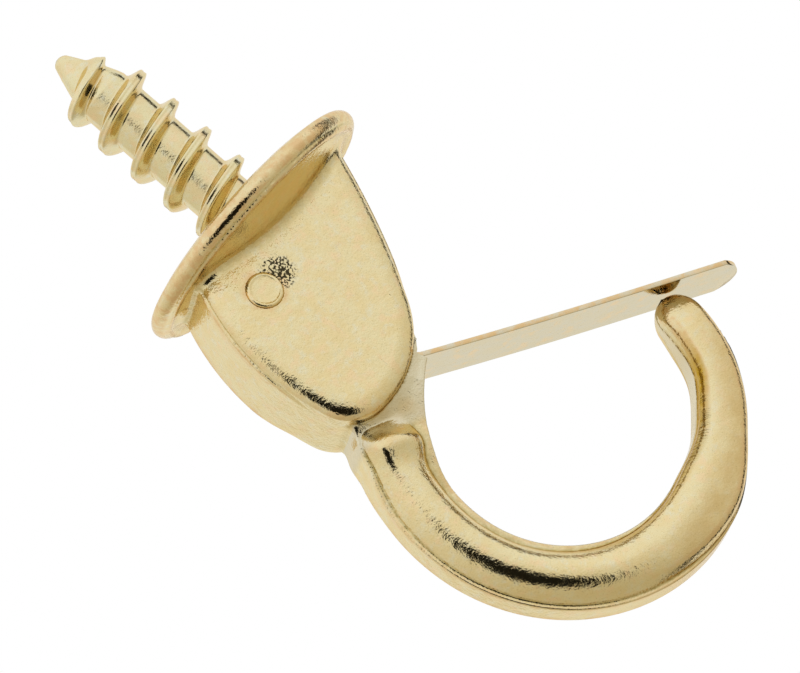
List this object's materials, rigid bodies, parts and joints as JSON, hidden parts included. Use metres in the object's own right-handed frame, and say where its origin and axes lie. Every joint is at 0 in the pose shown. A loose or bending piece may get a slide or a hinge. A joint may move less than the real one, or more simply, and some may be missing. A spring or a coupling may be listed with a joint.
{
  "type": "safety cup hook",
  "caption": "Screw-in cup hook with a round flange, a curved arm and a sprung gate on a cross pin that closes the bowl.",
  "frame": {"origin": "centre of the flange's flat back face, on the screw's axis", "axes": "+Z along the screw into the surface that the hook is screwed to, so the hook hangs towards -Z; +X towards the gate's free end; +Y across the hook, along the cross pin"},
  "size_m": [0.0257, 0.016, 0.0451],
  "materials": {
    "cast_plating": "polished brass plating with a slight orange peel",
    "screw_plating": "brass plated steel",
    "strip_plating": "thin pale brass plating on spring steel"
  },
  "bodies": {
    "root": {"body": "cast_plating", "screw": "screw_plating", "pin": "cast_plating"},
    "gate": {"gate": "strip_plating"}
  },
  "joints": [
    {"name": "gate_swing", "type": "hinge", "parent": "root", "child": "gate", "pos_m": [-0.0039, 0, -0.0043], "axis": [0, -1, 0], "range_deg": [0, 18], "stiffness_Nm_per_rad": 0.05, "springref_deg": -8.59}
  ]
}
